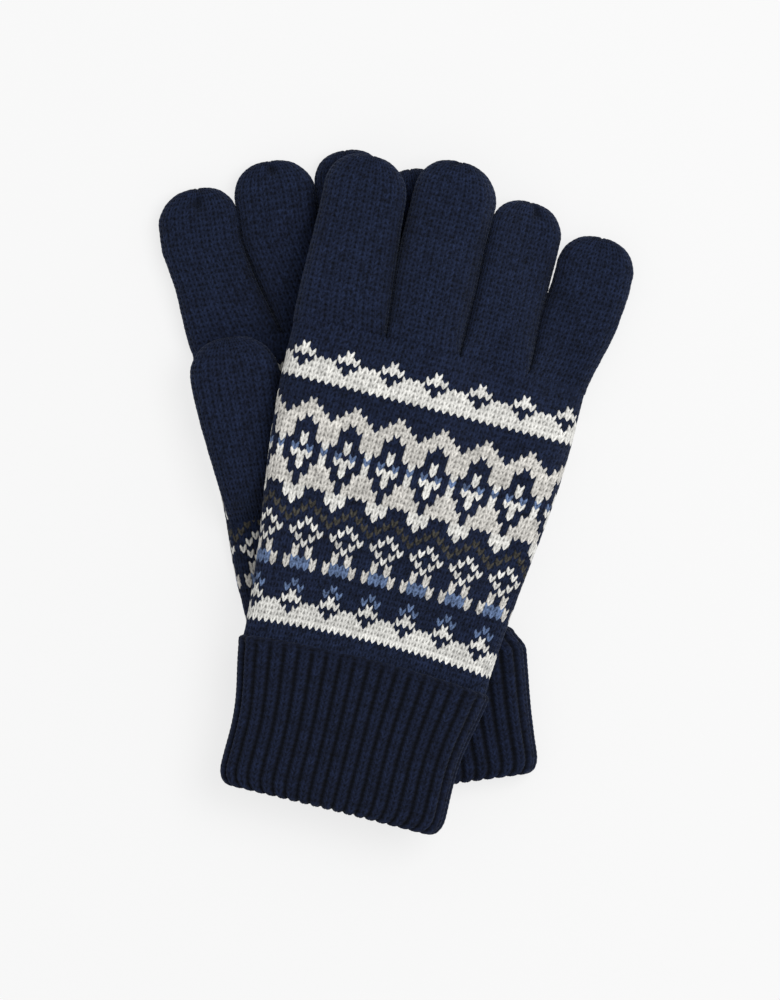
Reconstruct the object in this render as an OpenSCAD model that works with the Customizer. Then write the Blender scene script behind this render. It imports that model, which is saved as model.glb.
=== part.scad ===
// A pair of knitted gloves, laid one across the other. The left glove lies palm up on
// the table, the right glove lies back up across it, and both cuffs are turned up.
// Every digit is its own tube, because a knitter makes each one as its own tube.

/* [Glove] */
// Width of the hand across the knuckles, laid flat
hand_w = 104.6; // [100:0.2:105]
// Width of the hand where it meets the cuff
wrist_w = 87; // [82:1:88]
// Length of the hand, from the cuff to the finger roots
hand_len = 115; // [110:1:116]
// Thickness of the upper glove's hand and fingers, laid flat and empty
upper_t = 11; // [10.6:0.2:11.6]
// Thickness of the lower glove's hand, pressed by the upper one
lower_t = 10; // [9.6:0.2:10.2]
// Thickness of a thumb pressed between the two gloves
thumb_t = 9.5; // [9.2:0.1:9.8]
// Thickness of the knitted fabric of the hands
knit_hand = 2.2; // [1.8:0.1:2.3]
// Thickness of the knitted fabric of the fingers and thumbs
knit_digit = 2; // [1.6:0.1:2.1]

/* [Cuff] */
// Distance from the wrist down to the fold of the cuff
cuff_len = 48.6; // [44:0.2:50]
// How far up the hand the turned-up cuff reaches
cuff_top = 3.3; // [2:0.1:4]
// Width of the turned-up cuff at its upper edge
cuff_top_w = 90; // [88:1:92]
// Width of the turned-up cuff at its fold
cuff_fold_w = 80; // [78:1:84]
// Thickness of the whole cuff, laid flat
cuff_t = 13.8; // [13.4:0.2:13.8]
// Thickness of the turned-up ribbing
rib_outer = 2.2; // [1.8:0.1:2.2]
// Thickness of the ribbing inside it
rib_inner = 2; // [1.6:0.1:2]

/* [Pose] */
// Clockwise turn of the upper glove
upper_turn = 14; // [13:0.5:15]
// Clockwise turn of the lower glove
lower_turn = -8; // [-9:0.5:-7]
// Clear space kept between parts that move apart
clear = 0.4; // [0.3:0.05:0.5]

/* [Hidden] */

// A glove's place: x and y of the middle of its wrist, its clockwise turn, 1 where it
// hangs over what lies under it, and how far its cuff leans sideways at the fold
UPPER = [-12, -63.1, upper_turn, 1, 0];
LOWER = [-3.6, -55.9, lower_turn, 0, 5.5];

// A digit: middle and width at its root, middle and width of its free part, its length,
// and how far up it its width changes. Middles are measured across the glove, with the
// index finger's side negative.
UPPER_DIGITS = [
    [-36.8, 31.8, -41.1, 28.0, 62, 50],
    [-7.1, 26.0, -8.8, 28.0, 67.4, 25],
    [18.6, 24.2, 18.2, 24.0, 60, 25],
    [41.5, 20.4, 45.0, 26.0, 54, 25]
];
LOWER_DIGITS = [
    [-36.8, 31.8, -44.2, 27.2, 56, 25],
    [-7.1, 26.0, -16.2, 27.6, 62, 25],
    [18.6, 24.2, 10.2, 23.2, 62, 25],
    [41.5, 20.4, 32.0, 19.4, 52.3, 25]
];
// The thumbs start this far up the hand, and lie on the lower palm
thumb_at = 39;
UPPER_THUMB = [-18.6, 20, -21.0, 24, 66, 25];
LOWER_THUMB = [-36.5, 20, -39.9, 30.2, 78.5, 65];
// The gussets close the hand between two finger roots
GUSSETS = [-20.5, 6.2, 31.0];
// Their edges stop this far short of the fabric that they are sewn to
gusset_gap = 0.6;

wool_navy = [0.1, 0.13, 0.2];
wool_rib = [0.08, 0.1, 0.17];
wool_pale = [0.86, 0.86, 0.83];

// Eases from 0 to 1 with no corner at either end
function ease(t) = let (c = min(1, max(0, t))) c * c * (3 - 2 * c);
function mix(a, b, s) = a + (b - a) * s;

// A glove's own across and along, turned into x and y
function place(g, u, v) = [
    g[0] + u * cos(g[2]) + v * sin(g[2]),
    g[1] - u * sin(g[2]) + v * cos(g[2])
];

// Height of the underside of the upper glove. It lies on the lower hand and cuff, rises
// over the two thumbs, and falls to the table past the lower glove's little finger.
function edge_x(y) = 46 - 0.2 * max(0, y + 10);
function pile(y) = mix(lower_t, cuff_t, ease((-20 - y) / 26));
function thumb_rise(x, y) =
    (thumb_t + clear) * ease((38 - x) / 26) * ease((y + 50) / 23) * ease((118 - y) / 58);
function drape(x, y) =
    clear + pile(y) * ease((edge_x(y) + 27 - x) / 24) + thumb_rise(x, y);

function spot(g, u, v, z) = let (p = place(g, u, v))
    [p[0], p[1], z + (g[3] == 1 ? drape(p[0], p[1]) : 0)];

// Outline of a tube pressed flat: two flat sides joined by two round edges
function section(w, t, flat, arc) = let (rx = min(t / 2, w / 2 - 0.1), h = w / 2 - rx) concat(
    [for (i = [0:flat]) [-h + 2 * h * i / flat, t]],
    [for (i = [1:arc - 1]) [h + rx * sin(180 * i / arc), t / 2 * (1 + cos(180 * i / arc))]],
    [for (i = [0:flat]) [h - 2 * h * i / flat, 0]],
    [for (i = [1:arc - 1]) [-h - rx * sin(180 * i / arc), t / 2 * (1 - cos(180 * i / arc))]]
);

// A station is [middle, along, width, thickness, height of its underside]
function ring(g, s, flat, arc) =
    [for (p = section(s[2], s[3], flat, arc)) spot(g, s[0] + p[0], s[1], s[4] + p[1])];
function rings(g, stations, flat, arc) = [for (s = stations) each ring(g, s, flat, arc)];
function tip(g, s, along) = spot(g, s[0], along, s[4] + s[3] / 2);

// The same station for the inside of the fabric
function inside(s, wall) = [s[0], s[1], s[2] - 2 * wall, s[3] - 2 * wall, s[4] + wall];

// A knitted tube with a hollow in it. Both ends are open, or the far end is gathered
// to a point at the two tip lengths given.
module knit_tube(g, outer, inner, flat, arc, tips) {
    n = 2 * (flat + arc);
    m = len(outer);
    inner_at = n * m;
    closed = !is_undef(tips);
    points = concat(
        rings(g, outer, flat, arc),
        rings(g, inner, flat, arc),
        closed ? [tip(g, outer[m - 1], tips[0]), tip(g, inner[m - 1], tips[1])] : []
    );
    walls = [for (i = [0:m - 2], k = [0:n - 1])
        let (a = i * n + k, b = i * n + (k + 1) % n, c = b + n, d = a + n,
             e = a + inner_at, f = b + inner_at, h = c + inner_at, j = d + inner_at)
        each [[a, d, c], [a, c, b], [e, h, j], [e, f, h]]];
    root = [for (k = [0:n - 1])
        let (a = k, b = (k + 1) % n, c = b + inner_at, d = a + inner_at)
        each [[a, b, c], [a, c, d]]];
    last = (m - 1) * n;
    far = [for (k = [0:n - 1])
        let (a = last + k, b = last + (k + 1) % n, c = b + inner_at, d = a + inner_at)
        each closed
            ? [[b, a, 2 * inner_at], [d, c, 2 * inner_at + 1]]
            : [[a, c, b], [a, d, c]]];
    polyhedron(points, concat(walls, root, far), convexity = 6);
}

// Stations of a digit, shrunk by the fabric's thickness for its inside. Its rounded end
// is as long as this share of its width.
blunt = 0.42;
function digit_width(d, s) = mix(d[1], d[3], ease(s / d[5]));
function digit_middle(d, s) = mix(d[0], d[2], min(1, s / (1.4 * d[5])));
function digit_stations(d, start, t, z, wall) =
    let (len = d[4] - 1.25 * wall, r = blunt * d[3] - wall)
    concat(
        [for (k = [0:4]) let (s = (len - r) * k / 4)
            [digit_middle(d, s), start + s, digit_width(d, s) - 2 * wall, t - 2 * wall, z + wall]],
        [for (q = [24, 44, 61, 76]) let (s = len - r + r * sin(q), thin = 0.45 + 0.55 * cos(q))
            [digit_middle(d, s), start + s, (d[3] - 2 * wall) * cos(q), (t - 2 * wall) * thin,
             z + wall + (t - 2 * wall) * (1 - thin) * 0.4]]
    );

module digit(g, d, start, t, z, colour) {
    color(colour) knit_tube(
        g,
        digit_stations(d, start, t, z, 0),
        digit_stations(d, start, t, z, knit_digit),
        4, 5,
        [start + d[4], start + d[4] - 1.25 * knit_digit]
    );
}

// The yarn's end, drawn through the last stitches and fastened inside the tip
module tip_knot(g, d, start, t, z) {
    end = digit_stations(d, start, t, z, knit_digit);
    s = end[len(end) - 1];
    r = 1.4;
    color(wool_navy)
        translate(tip(g, s, start + d[4] - 1.25 * knit_digit - r - 0.3)) sphere(r, $fn = 24);
}

// Stations of the hand, from the cuff to the finger roots
function hand_stations(t, wall) = [for (k = [0:10])
    let (v = mix(cuff_top + 0.2, hand_len - clear, k / 10))
    [-0.5 * v / hand_len, v, mix(wrist_w, hand_w, ease(v / 100)) - 2 * wall, t - 2 * wall,
     (cuff_t - t) / 2 * (1 - ease(v / 14)) + wall]];

module hand(g, t, colour) {
    color(colour) knit_tube(g, hand_stations(t, 0), hand_stations(t, knit_hand), 12, 5);
}

module gussets(g, t) {
    // Each gusset is a strip of fabric that runs from the palm to the back
    faces = [[0, 1, 2, 3], [4, 7, 6, 5], [0, 4, 5, 1], [1, 5, 6, 2], [2, 6, 7, 3], [3, 7, 4, 0]];
    low = knit_hand + gusset_gap;
    high = t - knit_hand - gusset_gap;
    color(wool_navy) for (u = GUSSETS)
        polyhedron([for (z = [low, high], c = [[-1, -5], [-1, 0], [1, 0], [1, -5]])
            spot(g, u + 1.1 * c[0], hand_len - clear - 0.2 + c[1], z)], faces);
}

// Stations of the cuff, from its fold to its upper edge
function cuff_stations(g, from, to, inset, wall) = [for (k = [0:4])
    let (v = mix(from, to, k / 4), rise = (v + cuff_len) / (cuff_top + cuff_len))
    [-g[4] * v / cuff_len, v, mix(cuff_fold_w, cuff_top_w, rise) - 2 * (inset + wall),
     cuff_t - 2 * (inset + wall), inset + wall]];

module cuff_turn_up(g) {
    color(wool_rib) knit_tube(g, cuff_stations(g, -cuff_len, cuff_top, 0, 0),
        cuff_stations(g, -cuff_len, cuff_top, 0, rib_outer), 6, 5);
}

module cuff_lining(g) {
    // The lining stands clear inside the turned-up part, so the two can slide apart
    inset = rib_outer + 0.3;
    color(wool_rib) knit_tube(g, cuff_stations(g, -cuff_len + 1, cuff_top, inset, 0),
        cuff_stations(g, -cuff_len + 1, cuff_top, inset, rib_inner), 6, 5);
}

upper_root = hand_len + 0.05;
lower_finger_t = lower_t - 0.3;
lower_thumb_z = lower_t + clear;
upper_thumb_z = -thumb_t - clear;

module left_hand() { hand(LOWER, lower_t, wool_navy); }
module right_hand() { hand(UPPER, upper_t, wool_pale); }
module left_finger(k) { digit(LOWER, LOWER_DIGITS[k], upper_root, lower_finger_t, 0.3, wool_navy); }
module right_finger(k) { digit(UPPER, UPPER_DIGITS[k], upper_root, upper_t, 0, wool_navy); }
module left_knot(k) { tip_knot(LOWER, LOWER_DIGITS[k], upper_root, lower_finger_t, 0.3); }
module right_knot(k) { tip_knot(UPPER, UPPER_DIGITS[k], upper_root, upper_t, 0); }

left_hand();
left_finger(0);  // left_index_finger
left_finger(1);  // left_middle_finger
left_finger(2);  // left_ring_finger
left_finger(3);  // left_little_finger
digit(LOWER, LOWER_THUMB, thumb_at, thumb_t, lower_thumb_z, wool_navy);  // left_thumb
cuff_lining(LOWER);  // left_cuff_lining
cuff_turn_up(LOWER);  // left_cuff_turn_up
gussets(LOWER, lower_t);  // left_finger_gussets
left_knot(0);  // left_index_tip_knot
left_knot(1);  // left_middle_tip_knot
left_knot(2);  // left_ring_tip_knot
left_knot(3);  // left_little_tip_knot
tip_knot(LOWER, LOWER_THUMB, thumb_at, thumb_t, lower_thumb_z);  // left_thumb_tip_knot
right_hand();
right_finger(0);  // right_index_finger
right_finger(1);  // right_middle_finger
right_finger(2);  // right_ring_finger
right_finger(3);  // right_little_finger
digit(UPPER, UPPER_THUMB, thumb_at, thumb_t, upper_thumb_z, wool_navy);  // right_thumb
cuff_lining(UPPER);  // right_cuff_lining
cuff_turn_up(UPPER);  // right_cuff_turn_up
gussets(UPPER, upper_t);  // right_finger_gussets
right_knot(0);  // right_index_tip_knot
right_knot(1);  // right_middle_tip_knot
right_knot(2);  // right_ring_tip_knot
right_knot(3);  // right_little_tip_knot
tip_knot(UPPER, UPPER_THUMB, thumb_at, thumb_t, upper_thumb_z);  // right_thumb_tip_knot
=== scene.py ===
"""A pair of knitted gloves: every stitch, rib and gathered tip is worked out as a surface.

The left glove lies palm up on the table and the right glove lies across it, back up. Lengths
in the classes are millimetres, measured in a glove's own across (u, little finger positive)
and along (v, from the cuff's upper edge to the fingertips), and become metres in the mesh.
"""

import logging
import math
from dataclasses import dataclass
from enum import Enum
from typing import Callable

import bpy
import numpy as np
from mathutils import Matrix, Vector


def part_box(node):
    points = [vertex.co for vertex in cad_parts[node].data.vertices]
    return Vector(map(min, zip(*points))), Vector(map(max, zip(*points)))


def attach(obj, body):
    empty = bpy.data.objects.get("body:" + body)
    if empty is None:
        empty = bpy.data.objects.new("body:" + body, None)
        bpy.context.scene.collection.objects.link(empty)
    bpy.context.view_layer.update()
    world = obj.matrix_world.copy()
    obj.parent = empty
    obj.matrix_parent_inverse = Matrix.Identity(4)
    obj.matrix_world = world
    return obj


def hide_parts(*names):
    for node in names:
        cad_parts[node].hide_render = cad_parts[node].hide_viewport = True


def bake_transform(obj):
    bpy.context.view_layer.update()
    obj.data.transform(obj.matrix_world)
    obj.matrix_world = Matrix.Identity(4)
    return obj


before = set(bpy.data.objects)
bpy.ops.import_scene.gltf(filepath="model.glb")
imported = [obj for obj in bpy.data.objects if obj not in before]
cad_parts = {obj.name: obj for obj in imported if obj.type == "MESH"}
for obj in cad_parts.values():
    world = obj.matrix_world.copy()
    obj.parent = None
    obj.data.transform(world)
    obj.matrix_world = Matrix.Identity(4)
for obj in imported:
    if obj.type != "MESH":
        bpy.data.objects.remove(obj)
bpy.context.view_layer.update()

Array = np.ndarray
MM = 0.001
FULL_TURN = 2 * np.pi
TABLE_CLEARANCE = 0.04  # mm between the lowest yarn and the table
log = logging.getLogger("gloves")


# ---------------------------------------------------------------- shared maths


def ease(t: Array | float) -> Array:
    """Runs from 0 to 1 with no corner at either end."""
    c = np.clip(t, 0.0, 1.0)
    return c * c * (3 - 2 * c)


def mix(a: Array | float, b: Array | float, share: Array | float) -> Array | float:
    """The value a given share of the way from a to b."""
    return a + (b - a) * share


@dataclass(frozen=True)
class Slope:
    """A soft step: 0 up to its start, 1 from one run further on.

    A negative run leads the other way.
    """

    start: float
    run: float

    def at(self, x: Array) -> Array:
        """How far up the step a place is."""
        return ease((x - self.start) / self.run)


def linear(code: tuple[float, float, float]) -> tuple[float, float, float]:
    """A display colour from 0 to 255, as the light it stands for from 0 to 1."""
    shares = (c / 255 for c in code)
    return tuple(c / 12.92 if c < 0.0405 else ((c + 0.055) / 1.055) ** 2.4 for c in shares)


def ripple(x: Array, y: Array, length: float, seed: int) -> Array:
    """A soft unevenness from about -1 to 1: five plane waves of near lengths, summed.

    Args:
        x, y: where it is wanted.
        length: the usual distance between two crests.
        seed: picks the waves' directions and phases.
    """
    rng = np.random.default_rng(seed)
    total = np.zeros(np.broadcast(x, y).shape)
    for turn, phase, stretch in rng.uniform([0, 0, 0.7], [FULL_TURN, FULL_TURN, 1.5], (5, 3)):
        k = FULL_TURN / (length * stretch)
        total = total + np.sin(k * (x * np.cos(turn) + y * np.sin(turn)) + phase)
    return total / 3.0


# ---------------------------------------------------------------- yarns and the knitted chart


class Yarn(Enum):
    """The colours of wool that the gloves are knitted in."""

    NAVY = (23, 32, 55)
    RIB = (20, 28, 50)
    WHITE = (230, 229, 224)
    OAT = (211, 208, 202)
    BLUE = (98, 118, 154)
    CHARCOAL = (66, 64, 58)


CHART_YARNS = {".": Yarn.NAVY, "W": Yarn.WHITE, "G": Yarn.OAT, "B": Yarn.BLUE, "C": Yarn.CHARCOAL}

# One repeat of the colour pattern, six stitches wide, from the cuff upwards.
BORDER = "WWWWWW WWWWWW .WWWWW ..WWW. WW...W W....."
BUDS = ".B...B B..... ...... ......"
TREES = "BBG.GB BBG.GB .G...G .G...G W..... .W...W ..W.W. .W...W W..C.. ..C.C. .C...C C..W.."
DIAMONDS = (
    "..WWW. ..WWW. GGG.GG GGG.GG GG...G GG.W.G W..W.. W.WWW. B.B.B. W..W.. "
    "GG.W.G GG...G GG...G GGG.GG .GGGGG ..GGG. ...G.."
)
PLAIN = "...... ...... ......"
CHART = " ".join((BORDER, BUDS, TREES, DIAMONDS, PLAIN, BORDER)).split()


def yarn_colours(yarns: list[Yarn]) -> Array:
    """The given yarns' colours, as rows of red, green and blue light."""
    return np.array([linear(y.value) for y in yarns])


# ---------------------------------------------------------------- how the gloves lie


@dataclass(frozen=True)
class Pile:
    """The heap that the upper glove lies on: lower hand, lower cuff and both thumbs.

    Fields:
        clear: gap kept between the gloves.
        hand, cuff, thumbs: heights of the parts of the heap.
        to_cuff: where the hand passes into the thicker cuff, up the table.
        off_hand: where the heap falls away past the little finger, across the table.
        narrows_from, narrows: from where, and how fast, that edge comes inwards.
        thumbs_side, thumbs_foot, thumbs_top: the limits of the thumbs.
    """

    clear: float = 0.4
    hand: float = 10.0
    cuff: float = 13.8
    thumbs: float = 9.9
    to_cuff: Slope = Slope(-20.0, -26.0)
    off_hand: Slope = Slope(73.0, -24.0)
    narrows_from: float = -10.0
    narrows: float = 0.2
    thumbs_side: Slope = Slope(38.0, -26.0)
    thumbs_foot: Slope = Slope(-50.0, 23.0)
    thumbs_top: Slope = Slope(118.0, -58.0)

    def under(self, x: Array, y: Array) -> Array:
        """Height of the upper glove's underside at a point of the table.

        It is level on the lower glove, higher on the thumbs, and eases down to the table
        past the lower glove's little finger.
        """
        narrowed = self.narrows * np.maximum(0, y - self.narrows_from)
        heap = mix(self.hand, self.cuff, self.to_cuff.at(y))
        rise = self.thumbs_side.at(x) * self.thumbs_foot.at(y) * self.thumbs_top.at(y)
        return self.clear + heap * self.off_hand.at(x + narrowed) + self.thumbs * rise


PILE = Pile()


@dataclass(frozen=True)
class Place:
    """How a glove lies.

    Fields:
        x, y: the middle of its wrist.
        turn: clockwise turn.
        drapes: whether it hangs over the pile.
        lean: how far its cuff leans sideways at the fold.
        bow: how far the knitting bows upwards in the middle, round the cuff's edge.
        flare: how far it has spread by its own weight at the thumb's root and at the cuff.
        bow_at, bow_reach, bow_half: where up the hand the bow is, and its reach along and
            to either side.
    """

    x: float
    y: float
    turn: float
    drapes: bool
    lean: float = 0.0
    bow: float = 0.0
    flare: float = 0.0
    bow_at: float = 5.0
    bow_reach: float = 32.0
    bow_half: float = 45.0

    @property
    def heading(self) -> tuple[float, float]:
        """Cosine and sine of its turn."""
        return math.cos(math.radians(self.turn)), math.sin(math.radians(self.turn))

    def world(self, u: Array, v: Array, z: Array) -> Array:
        """Points in millimetres, from a glove's own across, along and height."""
        c, s = self.heading
        bowed = np.exp(-(((v - self.bow_at) / self.bow_reach) ** 2))
        v = v + self.bow * (1 - (u / self.bow_half) ** 2) * bowed
        x, y = self.x + u * c + v * s, self.y - u * s + v * c
        if self.drapes:
            z = z + PILE.under(x, y)
        return np.stack(np.broadcast_arrays(x, y, z), axis=-1)

    def metres(self, u: float, v: float, z: float) -> tuple[float, float, float]:
        """One such point, in metres."""
        return tuple(float(c) * MM for c in self.world(np.float64(u), np.float64(v), np.float64(z)))


# ---------------------------------------------------------------- surfaces


@dataclass
class Surface:
    """A grid of points with its yarn colours and painted shade, ready to become a mesh.

    Fields:
        points: rows by columns by 3, in millimetres.
        hollow: rows by columns, painted shade that darkens the yarn's colour: 0 deepest between
            stitches and 1 on a stitch's crown.
        colours: a colour for each cell of the grid.
        wraps: whether the last column joins the first.
        loops: whether the last row joins the first.
        poles: a point that closes the first row, and one that closes the last, or None.
    """

    points: Array
    hollow: Array
    colours: Array
    wraps: bool = False
    loops: bool = False
    poles: tuple[Array | None, Array | None] = (None, None)

    def mesh(self, name: str) -> bpy.types.Object:
        """Makes the Blender object: four-sided cells, and a fan of triangles at each pole."""
        rows, cols = self.points.shape[:2]
        r = np.arange(rows if self.loops else rows - 1)[:, None]
        c = np.arange(cols if self.wraps else cols - 1)[None, :]
        r2, c2 = (r + 1) % rows, (c + 1) % cols
        quads = np.stack([r * cols + c, r * cols + c2, r2 * cols + c2, r2 * cols + c], axis=-1)
        quads = quads.reshape(-1, 4)
        points = [self.points.reshape(-1, 3)]
        hollow = [self.hollow.reshape(-1)]
        fans, fan_colours = [], []
        ring = np.arange(cols)
        for pole, row, flip in ((self.poles[0], 0, True), (self.poles[1], rows - 1, False)):
            if pole is None:
                continue
            tip = np.full(cols, sum(len(p) for p in points))
            a, b = row * cols + ring, row * cols + (ring + 1) % cols
            fans.append(np.stack([b, a, tip] if flip else [a, b, tip], axis=-1))
            fan_colours.append(self.colours[min(row, rows - 2)])
            points.append(pole.reshape(1, 3))
            # The closing point takes the deepest painted shade.
            hollow.append(np.zeros(1))
        fans = np.concatenate(fans) if fans else np.zeros((0, 3), int)
        co = np.concatenate(points).astype(np.float32) * MM
        corners = np.concatenate([quads.ravel(), fans.ravel()]).astype(np.int32)
        starts = np.concatenate([np.arange(len(quads)) * 4, quads.size + np.arange(len(fans)) * 3])
        cells = [np.repeat(self.colours.reshape(-1, 3), 4, axis=0)]
        cells += [np.repeat(f.reshape(-1, 3), 3, axis=0) for f in fan_colours]
        paint = np.ones((len(corners), 4), np.float32)
        paint[:, :3] = np.concatenate(cells)

        mesh = bpy.data.meshes.new(name)
        mesh.vertices.add(len(co))
        mesh.vertices.foreach_set("co", co.ravel())
        mesh.loops.add(len(corners))
        mesh.loops.foreach_set("vertex_index", corners)
        mesh.polygons.add(len(starts))
        mesh.polygons.foreach_set("loop_start", starts.astype(np.int32))
        mesh.update(calc_edges=True)
        mesh.shade_smooth()
        yarn = mesh.color_attributes.new("yarn", "FLOAT_COLOR", "CORNER")
        yarn.data.foreach_set("color", paint.ravel())
        # Painted shade per point, by which the material darkens the yarn's colour between stitches.
        depth = mesh.attributes.new("hollow", "FLOAT", "POINT")
        depth.data.foreach_set("value", np.concatenate(hollow).astype(np.float32))
        obj = bpy.data.objects.new(name, mesh)
        bpy.context.collection.objects.link(obj)
        return obj


def slopes_to_normals(points: Array, wraps: bool, loops: bool) -> Array:
    """Unit normals of a grid: the cross product of its slopes along columns and rows.

    Args:
        points: rows by columns by 3.
        wraps: the columns close on themselves.
        loops: the rows close on themselves.

    Returns:
        Rows by columns by 3, pointing outwards where rows run along a tube and columns
        run over its top from left to right.
    """

    def slope(axis: int, closed: bool) -> Array:
        """Change from the point before to the point after, along one axis of the grid."""
        if closed:
            return np.roll(points, -1, axis) - np.roll(points, 1, axis)
        return np.gradient(points, axis=axis)

    normal = np.cross(slope(1, wraps), slope(0, loops))
    return normal / np.maximum(np.linalg.norm(normal, axis=-1, keepdims=True), 1e-9)


@dataclass(frozen=True)
class Outline:
    """Cross sections of a tube pressed flat, one for each point asked for.

    Fields are arrays of one shape: middle and width across, thickness, height of the
    underside, the roundness of the left and right sides, how far the top is crowned, and
    the least half of the width that stays flat.
    """

    middle: Array
    along: Array
    width: Array
    thick: Array
    low: Array
    left: Array
    right: Array
    crown: Array | float = 0.0
    least_flat: float = 0.05

    def at(self, q: Array) -> tuple[Array, Array]:
        """Across and height of the point a share q round the outline.

        It starts at the left extreme and runs over the top to the right extreme: a quarter
        ellipse, a flat side, a quarter ellipse. The underside is the same, mirrored.
        """
        half = self.thick / 2
        rl = np.minimum(self.left, self.width / 2 - self.least_flat)
        rr = np.minimum(self.right, self.width / 2 - self.least_flat)
        arc_l = np.pi / 2 * np.sqrt((rl**2 + half**2) / 2)
        arc_r = np.pi / 2 * np.sqrt((rr**2 + half**2) / 2)
        flat = self.width - rl - rr
        side = arc_l + flat + arc_r
        q = q % 1.0
        s = np.where(q > 0.5, 1 - q, q) * 2 * side
        turn_l = np.clip(s / arc_l, 0, 1) * np.pi / 2
        turn_r = np.clip((side - s) / arc_r, 0, 1) * np.pi / 2
        x = np.where(s < arc_l, rl * (1 - np.cos(turn_l)), rl + s - arc_l)
        x = np.where(s > arc_l + flat, self.width - rr * (1 - np.cos(turn_r)), x) - self.width / 2
        lift = half * np.where(s < side / 2, np.sin(turn_l), np.sin(turn_r))
        top = 1 - (2 * x / self.width) ** 2
        z = np.where(q > 0.5, -lift, lift + self.crown * top * (lift / half))
        return self.middle + x, self.low + half + z


@dataclass(frozen=True)
class Stitch:
    """A plain knit stitch, which shows as a V with its point towards the cuff.

    Fields:
        across, along: cells that a stitch is divided into each way.
        relief: height of the yarn above the hollows.
        bed: share of the relief that lies inside the smooth tube.
        rise: how far the V's arms climb, in rows.
        tip, curl, droop: share of an arm's width at which it stops climbing, how concave
        its climb is, and the share of the climb that it then drops.
        foot, lean, girth: where in an arm its strand starts, how far it leans outwards in
            one row, and its half width.
        pinch, swell: where in its length a strand is thinnest, and how much it swells.
    """

    across: int = 8
    along: int = 4
    relief: float = 0.55
    bed: float = 0.8
    rise: float = 0.66
    tip: float = 0.78
    curl: float = 1.35
    droop: float = 0.28
    foot: float = 0.24
    lean: float = 0.5
    girth: float = 0.56
    pinch: float = 0.06
    swell: float = 0.28

    def chevron(self, arm: Array) -> Array:
        """Climb of a row's lower edge, from the V's point (arm 0) to the arm's tip."""
        climb = np.minimum(arm / self.tip, 1.0) ** self.curl
        drop = self.droop * ease((arm - self.tip) / (1 - self.tip))
        return self.rise * (climb - drop - 0.5)

    def crown(self, arm: Array, up: Array) -> Array:
        """Height of the yarn, from 0 to 1: each arm is a strand that leans outwards.

        Args:
            arm: 0 at the middle of the stitch, 1 where it meets its neighbour.
            up: 0 at the row's lower edge, 1 at its upper edge.
        """
        ridge = self.foot + self.lean * up
        strand = np.sqrt(np.maximum(0.0, 1 - ((arm - ridge) / self.girth) ** 2))
        return strand * (1 - self.swell + self.swell * np.sin(np.pi * mix(self.pinch, 1.0, up)))


class Tube:
    """A knitted tube: tells where the point at a wale and a row lies.

    Its wales are the columns of stitches round it. Its top rises and falls softly by
    sag_depth over sag_length.
    """

    place: Place
    wales: int
    seed: int
    sag_depth: float
    sag_length: float

    def outline(self, rows: Array) -> Outline:
        """The cross section at each row."""
        raise NotImplementedError

    def drift(self, rows: Array) -> Array:
        """How many wales the knitting leans round the tube at each row."""
        return np.zeros_like(rows)

    def sag(self, u: Array, v: Array) -> Array:
        """Extra height of the surface, for soft unevenness."""
        return self.sag_depth * ripple(u, v, self.sag_length, self.seed)

    def point(self, wale: Array, rows: Array) -> Array:
        """Points of the smooth tube that the stitches lie on, in millimetres."""
        shape = self.outline(rows)
        q = (wale - self.drift(rows)) / self.wales
        u, z = shape.at(q)
        top = np.clip((z - shape.low) / shape.thick, 0, 1)
        return self.place.world(u, shape.along, z + self.sag(u, shape.along) * top)


def shades(wale: Array, row: Array, seed: int) -> Array:
    """Each stitch's own lightness, near 1: no two stitches of real wool are quite alike."""
    stitch_spread, row_spread = 0.07, 0.04
    wales, rows = 97, 89
    rng = np.random.default_rng(seed)
    table = rng.normal(1.0, stitch_spread, (wales, rows))
    streak = rng.normal(1.0, row_spread, rows)
    return table[wale % wales, row % rows] * streak[row % rows]


def unevenness(wale: Array, row: Array, seed: int) -> Array:
    """How thick the yarn is at a wale and a row, near 1. It changes every few stitches."""
    stitch_width, stitch_height, length, share = 2.6, 1.9, 6.0, 0.14
    return 1 + share * ripple(wale * stitch_width, row * stitch_height, length, seed)


def off_table(points: Array) -> Array:
    """The points, with none lower than a hair above the table."""
    points[..., 2] = np.maximum(points[..., 2], TABLE_CLEARANCE)
    return points


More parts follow.
